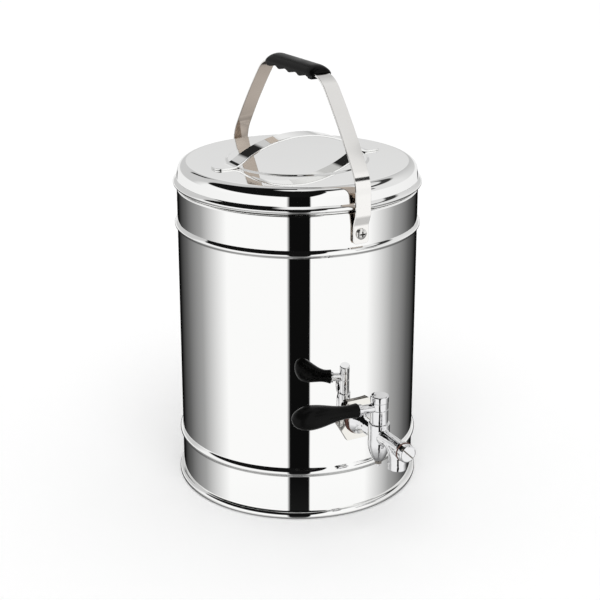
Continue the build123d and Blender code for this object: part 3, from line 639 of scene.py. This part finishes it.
def lid_handle():
    """Strap arched over the raised disc on two rounded feet."""
    width, thick, corner, rise = 20.0, 2.0, 7.0, 24.5
    foot_in, foot_out, root = 80.5, 96.0, 20.0
    foot_height = LID_TOP + thick / 2
    lean = 2 * math.atan2(rise, foot_in)
    crown = foot_in / math.sin(lean) - root
    lean = math.degrees(lean)
    half = [(foot_out, foot_height), (foot_in, foot_height)]
    half += arc(foot_in, foot_height + root, root, 270, 270 - lean, 10)[1:]
    half += arc(0, foot_height + rise - crown, crown, 90 - lean, 90, 24)[1:]
    stations = [(-x, z) for x, z in half] + list(reversed(half[:-1]))
    piece = draw_strap("lid_strap", stations, width, Matrix.Identity(4))
    round_corners(piece, corner)
    apply_modifier(piece, "SOLIDIFY", thickness=thick * MM, offset=0.0)
    break_edges(piece, width=0.45, segments=3, degrees=50)
    soften(piece, 40)
    stand_in(piece, "lid_handle", "lid", STEEL)


def bail():
    """Strap bail with joggled ends and rounded tabs, drawn as (distance from the urn's axis, height)."""
    leg, tab, flat = 131.5, 127.5, 45.0
    tab_end, joggle_rise, joggle_length, straight = 10.0, 9.4, 8.4, 21.0
    low_bend, high_bend = 40.0, 33.0
    low, high = math.radians(34.0), math.radians(42.0)
    thick, corner = 2.0, 3.0
    ease = ((0.0, -2.0), (0.25, -0.5), (0.8, 1.0))      # soft turn at each end of the joggle
    long_bend = leg - flat - low_bend * (1 - math.cos(low)) - high_bend * math.cos(high)
    long_bend /= math.cos(low) - math.cos(high)
    joggle = PIVOT + joggle_rise
    bend_y, bend_z = leg - low_bend, joggle + joggle_length + straight
    side_y = bend_y + (low_bend - long_bend) * math.cos(low)
    side_z = bend_z + (low_bend - long_bend) * math.sin(low)
    crown_z = side_z + (long_bend - high_bend) * math.sin(high)
    half = [(tab, PIVOT - tab_end)]
    half += [(tab + out, joggle + up) for out, up in ease]
    half += [(leg - out, joggle + joggle_length - up) for out, up in reversed(ease)]
    half += arc(bend_y, bend_z, low_bend, 0, math.degrees(low), 10)
    half += arc(side_y, side_z, long_bend, math.degrees(low), math.degrees(high), 16)[1:]
    half += arc(flat, crown_z, high_bend, math.degrees(high), 90, 12)[1:]
    stations = half + [(-y, z) for y, z in reversed(half)]
    upright = [(z, y) for y, z in stations]
    turn = Matrix(((0, 1, 0, 0), (0, 0, 1, 0), (1, 0, 0, 0), (0, 0, 0, 1)))
    piece = draw_strap("bail_strip", upright, STRAP, turn)
    round_corners(piece, corner)
    apply_modifier(piece, "SOLIDIFY", thickness=thick * MM, offset=0.0)
    break_edges(piece, width=0.4, segments=3, degrees=50)
    soften(piece, 40)
    stand_in(piece, "bail_strap", "bail", STRIP)
    # the side that looks at the lid gets the darker brown-grey copy as painted shade
    darken(piece, SHADED_STRIP, inside_bail)


def lever_bulb():
    """Bulb handle of the tap, drawn on the upright axis and then laid along the lever."""
    mouth, neck, swell, end = 25.3, 12.0, 40.6, 18.8        # from the plug's axis, then lengths
    collar, throat, belly, nose, lip = 7.3, 6.5, 12.0, 9.5, 1.5     # radii
    droop = 4.0
    widest = mouth + neck + swell
    rise = end - nose
    flank = (belly ** 2 + rise ** 2 - nose ** 2) / (2 * (belly - nose))
    turn = math.degrees(math.atan2(rise, flank - belly))
    outline = [(collar - lip, mouth)] + arc(collar - lip, mouth + lip, lip, -90, 0, 6)[1:]
    for i in range(1, 7):
        u = i / 6
        waist = collar - (collar - throat) * math.sin(u * math.pi / 2)
        outline.append((waist, mouth + lip + (neck - lip) * u))
    for i in range(1, 21):
        u = i / 20
        outline.append((throat + (belly - throat) * u * u * (3 - 2 * u), mouth + neck + swell * u))
    outline += arc(belly - flank, widest, flank, 0, turn, 10)[1:]
    outline += arc(0, widest + rise, nose, turn, 88, 12)[1:]
    outline.append((0, widest + end))
    piece = draw_round("lever_bulb", outline, 64, capped=True)
    lean = Matrix.Rotation(math.radians(droop - 90), 4, "Y")
    piece.data.transform(Matrix.Translation((0, -PLUG * MM, (TAP_HEIGHT + LEVER_HEIGHT) * MM)) @ lean)
    soften(piece, 50)
    stand_in(piece, "lever_handle", "tap_key", PHENOLIC)


def grip_cover():
    """Domed cover of the grip, drawn upright through its cross-sections, halved and laid along the bail."""
    low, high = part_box("grip_cover")
    wide, long, tall = high[0] / MM, high[1] / MM, (high[2] - low[2]) / MM
    fall, corner = 13.0, 5.0                # lengths of the rounded ends, seen from the side and from above
    end_rise, end_width = 0.3, 0.72         # shares of height and width that are left at the very end
    slack, channel, steps = 0.2, 2.1, 40
    sections = []
    for i in range(steps + 1):
        along = -long * math.cos(math.pi * i / steps)
        to_end = long - abs(along)
        drop = 1 - min(to_end / fall, 1)
        turn = 1 - min(to_end / corner, 1)
        width = wide * (end_width + (1 - end_width) * math.sqrt(1 - turn ** 2))
        rise = tall * (end_rise + (1 - end_rise) * math.sqrt(1 - drop ** 2))
        sections.append((width, rise, along))
    sections.append((0, 0, long))
    piece = draw_sections("grip_top", sections, 96, capped=True)
    pick_up(piece)
    bpy.ops.object.mode_set(mode="EDIT")
    bpy.ops.mesh.select_all(action="SELECT")
    bpy.ops.mesh.bisect(plane_co=(0, 0, 0), plane_no=(0, 1, 0), use_fill=True, clear_inner=True)
    bpy.ops.mesh.select_all(action="SELECT")
    bpy.ops.mesh.remove_doubles(threshold=1e-6)
    bpy.ops.mesh.normals_make_consistent(inside=False)
    bpy.ops.object.mode_set(mode="OBJECT")
    cut_bar(piece, (STRAP + slack, 2 * channel, 3 * long), 0.0)
    break_edges(piece, width=0.4, segments=3, degrees=50)
    piece.data.transform(Matrix.Translation((0, 0, low[2])) @ Matrix.Rotation(math.radians(90), 4, "X"))
    soften(piece, 40)
    stand_in(piece, "grip_cover", "bail", PHENOLIC)


def grip():
    """Domed cover, with the ridged base set in under it, and the screws that hold them."""
    grip_cover()
    set_in = 0.87
    ridges = dress("grip_base", "grip_ridges", edge=0.5, degrees=25)
    ridges.data.transform(Matrix.Diagonal((set_in, 1.0, 1.0, 1.0)))
    stand_in(ridges, "grip_base", "bail", PHENOLIC)
    fixings = dress("grip_screws", "grip_fixings", edge=0.15)
    stand_in(fixings, "grip_screws", "bail", ZINC)


def tap_casting():
    """Tap body with the soft joints of a casting: neck, barrel, tube and spout run into each other."""
    piece = copy_solid("tap_body", "tap_casting")
    apply_modifier(piece, "REMESH", mode="VOXEL", voxel_size=0.45 * MM)
    apply_modifier(piece, "SMOOTH", factor=0.5, iterations=12)
    soften(piece, 60)
    stand_in(piece, "tap_body", "urn", CHROME)


def tap():
    """Hexagon boss, and the pieces that turn with the lever."""
    boss = dress("tap_socket", "hexagon_boss", edge=0.9)
    stand_in(boss, "tap_socket", "urn", NICKEL)
    # the hexagon's flats get the dull grey finish as painted shade
    darken(boss, DULL_ZINC_AND_SHADE, on_flats)
    for node, name, edge, slot, finish in (
        ("tap_plug", "turning_plug", 0.5, "tap_chrome", CHROME),
        ("plug_cap", "plug_button", 0.6, "tap_chrome", CHROME),
        ("lever_stem", "lever_arm", 0.25, "tap_chrome", CHROME),
        ("plug_washer", "tail_washer", 0.15, "screw_steel", DULL_ZINC_AND_SHADE),
        ("plug_nut", "tail_nut", 0.25, "screw_steel", DULL_ZINC_AND_SHADE),
    ):
        stand_in(dress(node, name, edge), node, "tap_key", finish)


def seal(node, name, inner, outer):
    """Fibre washer, drawn upright and laid along the tap."""
    high, low = (-corner[1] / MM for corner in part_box(node))
    edge = 0.25
    outline = [(inner, low), (outer - edge, low), (outer, low + edge), (outer, high - edge)]
    outline += [(outer - edge, high), (inner, high), (inner, low)]
    piece = draw_round(name, outline, 96)
    piece.data.transform(LAID)
    soften(piece, 40)
    stand_in(piece, node, "urn", FIBRE)


def cleaning_plug():
    """Slotted plug that closes the tube's end, drawn upright and laid along the tap."""
    top, inside = (-corner[1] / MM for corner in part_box("end_cap"))
    cap, bend, spigot, face, edge = 9.0, 2.2, 4.5, 214.5, 0.25
    slot_width, slot_turn = 1.3, -45.0
    outline = [(spigot, inside), (spigot, face), (cap - edge, face), (cap, face + edge)]
    outline += arc(cap - bend, top - bend, bend, 0, 90, 8)
    outline.append((0, top))
    piece = draw_round("cleaning_plug", outline, 96, capped=True)
    cut_bar(piece, (4 * cap, slot_width, 2 * (top - SLOT_FLOOR)), top, slot_turn)
    piece.data.transform(LAID)
    soften(piece, 35)
    stand_in(piece, "end_cap", "urn", CHROME)
    # the slot's floor gets the dull grey finish as painted shade
    darken(piece, DULL_ZINC_AND_SHADE, in_slot)


def pan_screw(name):
    """Screw with a domed head, drawn upright, its cross recess cut by two bars."""
    tip, shank, head, height, edge = 119.5, 2.5, 5.6, 3.2, 0.3
    cross_long, cross_wide, cross_deep = 5.6, 1.5, 1.8
    sag = height * 2 / 3
    dome = (head ** 2 + sag ** 2) / (2 * sag)
    span = math.degrees(math.asin(head / dome))
    top = SCREW_SEAT + height
    outline = [(shank, tip), (shank, SCREW_SEAT), (head - edge, SCREW_SEAT), (head, SCREW_SEAT + edge)]
    outline += arc(0, top - dome, dome, 90 - span, 88, 12)
    outline.append((0, top))
    piece = draw_round(name, outline, 64, capped=True)
    for along, across in ((cross_long, cross_wide), (cross_wide, cross_long)):
        cut_bar(piece, (along, across, 2 * cross_deep), top)
    return piece


def pivots():
    """Both pivot screws as one piece, and the bail's spacing washers."""
    screws = [pan_screw("pan_screws"), pan_screw("back_screw")]
    raised = Matrix.Translation((0, 0, PIVOT * MM))
    for screw, turn in zip(screws, (90, -90)):
        screw.data.transform(raised @ Matrix.Rotation(math.radians(turn), 4, "X"))
    pick_up(screws[0])
    screws[1].select_set(True)
    bpy.ops.object.join()
    soften(screws[0], 35)
    stand_in(screws[0], "pivot_screws", "urn", ZINC)
    # the cross recess gets the near-black copy of the zinc finish as painted shade
    darken(screws[0], RECESS_SHADE, in_cross)
    spacers = dress("pivot_washers", "bail_spacers", edge=0.2)
    stand_in(spacers, "pivot_washers", "urn", NYLON)


casing()
casing_seam()
foot()
lid()
lid_filling()
lid_handle()
bail()
lever_bulb()
grip()
tap_casting()
tap()
seal("boss_washer", "boss_seal", inner=10.3, outer=14.8)
seal("end_washer", "end_seal", inner=4.6, outer=9.5)
cleaning_plug()
pivots()
for node, finish in (
    ("base_plate", BRUSHED), ("inner_vessel", BRUSHED), ("lid_liner", BRUSHED),
    ("insulation", FOAM), ("lid_gasket", SILICONE), ("pivot_nuts", ZINC),
):
    paint(node, finish)


# Studio

AZIMUTH = math.radians(28.66)      # camera to the left of the tap
PITCH = math.radians(18.12)        # camera looking down
DISTANCE = 1.375                   # metres from the urn's axis
EYE_HEIGHT = 0.6833
PICTURE = 600                      # pixels across, for the three numbers below
FOCAL = 1366
AXIS_X, AXIS_Y = 297.33, 264       # where the lens's axis meets the picture
TOWARD = (-math.sin(AZIMUTH), -math.cos(AZIMUTH), 0.0)
RIGHT = (math.cos(AZIMUTH), -math.sin(AZIMUTH), 0.0)

# Grey levels of the tent round the urn, as (degrees to the right of the camera, level)
BELOW_TABLE = (
    (-180, 0.0), (-156, 0.006), (-132, 0.12), (-104, 0.36), (-70, 1.0), (-9, 1.0), (-8, 0.004),
    (11.5, 0.004), (12.5, 1.0), (70, 1.0), (104, 0.36), (132, 0.12), (156, 0.006), (180, 0.0),
)
OVER_TABLE = ((-180, 0.86), (-9, 1.0), (-8, 0.004), (11.5, 0.004), (12.5, 1.0), (180, 0.86))
WALLS = (
    (-180, 0.6), (-116, 0.6), (-100, 0.92), (-60, 1.0), (-9, 1.0), (-8, 0.004),
    (11.5, 0.004), (12.5, 1.0), (64, 1.0), (76, 0.78), (118, 0.8), (140, 0.7), (180, 0.5),
)
# Foot of the dark gap under the roof, as (degrees to the right of the camera, share of a right angle)
GAP_FOOT = (
    (-180, 1.0), (-150, 1.0), (-124, 0.52), (-104, 0.35), (-64, 0.24), (-8, 0.14), (11.5, 0.14), (30, 0.5),
    (65, 1.0), (180, 1.0),
)


def studio():
    """White tent with a dark slot behind the camera, a dark roof and dark strips, seen only in the metal."""
    world = bpy.data.worlds.new("white_tent")
    bpy.context.scene.world = world
    world.use_nodes = True
    tree = world.node_tree
    tree.nodes.clear()
    way = add(tree, "ShaderNodeTexCoord").outputs["Generated"]
    front = add(tree, "ShaderNodeVectorMath", {1: TOWARD}, {0: way}, operation="DOT_PRODUCT").outputs["Value"]
    side = add(tree, "ShaderNodeVectorMath", {1: RIGHT}, {0: way}, operation="DOT_PRODUCT").outputs["Value"]
    height = add(tree, "ShaderNodeSeparateXYZ", links={0: way}).outputs["Z"]
    turn = add(tree, "ShaderNodeMath", links={0: side, 1: front}, operation="ARCTAN2").outputs[0]
    bearing = add(tree, "ShaderNodeMath", links={0: turn}, operation="DEGREES").outputs[0]
    astern = add(tree, "ShaderNodeMath", links={0: bearing}, operation="ABSOLUTE").outputs[0]
    rise = add(tree, "ShaderNodeMath", links={0: height}, operation="ARCSINE").outputs[0]
    climb = add(tree, "ShaderNodeMath", links={0: rise}, operation="DEGREES").outputs[0]
    full_turn = {"From Min": -180.0, "From Max": 180.0}
    share = add(tree, "ShaderNodeMapRange", full_turn, {"Value": bearing}).outputs[0]

    rings = []
    for stops in (BELOW_TABLE, OVER_TABLE, WALLS, GAP_FOOT):
        ring = add(tree, "ShaderNodeValToRGB", links={"Fac": share})
        elements = ring.color_ramp.elements
        while len(elements) < len(stops):
            elements.new(0.5)
        for element, (angle, level) in zip(elements, stops):
            element.position = (angle + 180) / 360
            element.color = (level, level, level, 1.0)
        rings.append(ring.outputs["Color"])
    below, over, walls, foot = rings
    heights = {0: foot, 2: climb}
    above_gap = add(tree, "ShaderNodeMath", {1: -90.0}, heights, operation="MULTIPLY_ADD").outputs[0]

    edges = {}
    for name, value, first, last in (
        # the ground under the table, its edge and the foot of the walls
        ("pit", climb, -27.0, -80.0),
        ("over_floor", climb, -12.6, -12.2),
        ("over_table", climb, 1.0, 5.0),
        # dark gap between walls and roof, and the lamp overhead
        ("in_gap", above_gap, -1.5, 1.5),
        ("roof_foot", climb, 60.0, 66.0),
        ("roof_top", climb, 84.0, 78.0),
        ("lamp", climb, 80.0, 84.0),
        # grey card straight behind the urn, mirrored by the flat of the lid
        ("card_side", astern, 171.0, 173.5),
        ("card_foot", climb, 5.0, 8.0),
        ("card_top", climb, 34.0, 29.0),
        # dark strip behind, mirrored by the lid handle
        ("streak_left", bearing, -151.0, -153.0),
        ("streak_back", astern, 164.0, 162.0),
        ("streak_foot", climb, 25.0, 27.0),
        ("streak_top", climb, 38.0, 36.0),
        # the dark roof stops short of the right behind the urn
        ("front", bearing, 110.0, 92.0),
        # dark strips at the right, mirrored by the near leg of the bail and by the lid's edge
        ("hatch_left", bearing, 56.0, 58.0),
        ("hatch_right", bearing, 82.0, 80.0),
        ("hatch_foot", climb, 20.0, 21.0),
        ("hatch_top", climb, 29.0, 28.0),
        ("shelf_left", bearing, 74.0, 80.0),
        ("shelf_right", bearing, 165.0, 150.0),
        ("shelf_foot", climb, 36.0, 39.0),
        ("shelf_top", climb, 47.0, 45.0),
    ):
        ends = {"From Min": first, "From Max": last}
        edges[name] = add(tree, "ShaderNodeMapRange", ends, {"Value": value}).outputs[0]
    for name, operation, first, others in (
        ("flag", "MAXIMUM", "in_gap", ("roof_foot",)),
        ("flag", "MULTIPLY", "flag", ("roof_top", "front")),
        ("card", "MULTIPLY", "card_side", ("card_foot", "card_top")),
        ("streak", "MULTIPLY", "streak_left", ("streak_back", "streak_foot", "streak_top")),
        ("hatch", "MULTIPLY", "hatch_left", ("hatch_right", "hatch_foot", "hatch_top")),
        ("shelf", "MULTIPLY", "shelf_left", ("shelf_right", "shelf_foot", "shelf_top")),
    ):
        edges[name] = edges[first]
        for other in others:
            joined = {0: edges[name], 1: edges[other]}
            edges[name] = add(tree, "ShaderNodeMath", links=joined, operation=operation).outputs[0]

    slant = {"From Min": 9.0, "From Max": 19.0, "To Min": 0.66, "To Max": 0.84}
    card = add(tree, "ShaderNodeMapRange", slant, {"Value": climb}).outputs[0]
    tones = {"walls": walls, "over": over, "below": below, "card": card}
    for name, edge, tone, other in (
        ("walls", "flag", 0.006, None),
        ("walls", "lamp", 0.9, None),
        ("walls", "card", None, "card"),
        ("walls", "hatch", 0.02, None),
        ("walls", "streak", 0.02, None),
        ("walls", "shelf", 0.04, None),
        ("below", "pit", 0.22, None),
        ("over", "over_table", None, "walls"),
        ("below", "over_floor", None, "over"),
    ):
        mix = add(tree, "ShaderNodeMix", links={"Factor": edges[edge], "A": tones[name]}, data_type="RGBA")
        if other:
            tree.links.new(tones[other], mix.inputs["B"])
        else:
            mix.inputs["B"].default_value = (tone, tone, tone, 1.0)
        tones[name] = mix.outputs["Result"]
    tent = add(tree, "ShaderNodeBackground", {"Strength": 1.0}, {"Color": tones["below"]})
    white = add(tree, "ShaderNodeBackground", {"Color": (1, 1, 1, 1), "Strength": 1.0})
    soft = add(tree, "ShaderNodeBackground", {"Color": (1, 1, 1, 1), "Strength": 0.72})
    path = add(tree, "ShaderNodeLightPath")
    mirrored = add(
        tree, "ShaderNodeMath",
        links={0: path.outputs["Is Glossy Ray"], 1: path.outputs["Is Transmission Ray"]}, operation="MAXIMUM",
    )
    lit = add(
        tree, "ShaderNodeMixShader", links={0: mirrored.outputs[0], 1: soft.outputs[0], 2: tent.outputs[0]}
    )
    looked_at = {0: path.outputs["Is Camera Ray"], 1: lit.outputs[0], 2: white.outputs[0]}
    seen = add(tree, "ShaderNodeMixShader", links=looked_at)
    add(tree, "ShaderNodeOutputWorld", links={"Surface": seen.outputs[0]})

    sun = bpy.data.lights.new("overhead_softbox", "SUN")
    sun.energy = 1.1
    sun.angle = math.radians(50)
    lamp = bpy.data.objects.new("overhead_softbox", sun)
    bpy.context.scene.collection.objects.link(lamp)
    lamp.rotation_euler = (math.radians(28), math.radians(-18), 0)
    lamp.visible_glossy = False


def floor():
    """Table of matt white card without gloss, wide enough to fill the picture."""
    width, gap = 60.0, 0.0002       # metres; the gap keeps the table clear of the foot
    clear_hands()
    bpy.ops.mesh.primitive_plane_add(size=width, location=(0, 0, -gap))
    plane = bpy.context.object
    plane.name = "white_table"
    finish, tree, place = begin_finish("matt_white_card")
    grain = add(tree, "ShaderNodeTexNoise", {"Scale": 1 / 0.6, "Detail": 2.0}, {"Vector": place})
    tone = add(
        tree, "ShaderNodeMix", {"A": colour("#FBFBFB"), "B": colour("#FFFFFF")},
        {"Factor": grain.outputs["Fac"]}, data_type="RGBA",
    )
    shader = add(
        tree, "ShaderNodeBsdfPrincipled",
        {
            "Roughness": 1.0, "Specular IOR Level": 0.0,
            "Emission Color": (1, 1, 1, 1), "Emission Strength": 0.03,
        },
        {"Base Color": tone.outputs["Result"]},
    )
    end_finish(tree, shader)
    plane.data.materials.append(finish)
    plane.visible_glossy = False


def camera():
    """Camera that looks down on the urn from the left of its tap."""
    lens = bpy.data.cameras.new("camera")
    lens.sensor_width = 36.0
    lens.lens = FOCAL / PICTURE * lens.sensor_width
    lens.shift_x = (PICTURE / 2 - AXIS_X) / PICTURE
    lens.shift_y = (AXIS_Y - PICTURE / 2) / PICTURE
    lens.clip_end = 100.0
    view = bpy.data.objects.new("camera", lens)
    bpy.context.scene.collection.objects.link(view)
    view.location = (TOWARD[0] * DISTANCE, TOWARD[1] * DISTANCE, EYE_HEIGHT)
    view.rotation_euler = (math.radians(90) - PITCH, 0, -AZIMUTH)
    bpy.context.scene.camera = view


studio()
floor()
camera()
bpy.context.scene.view_settings.view_transform = "Standard"
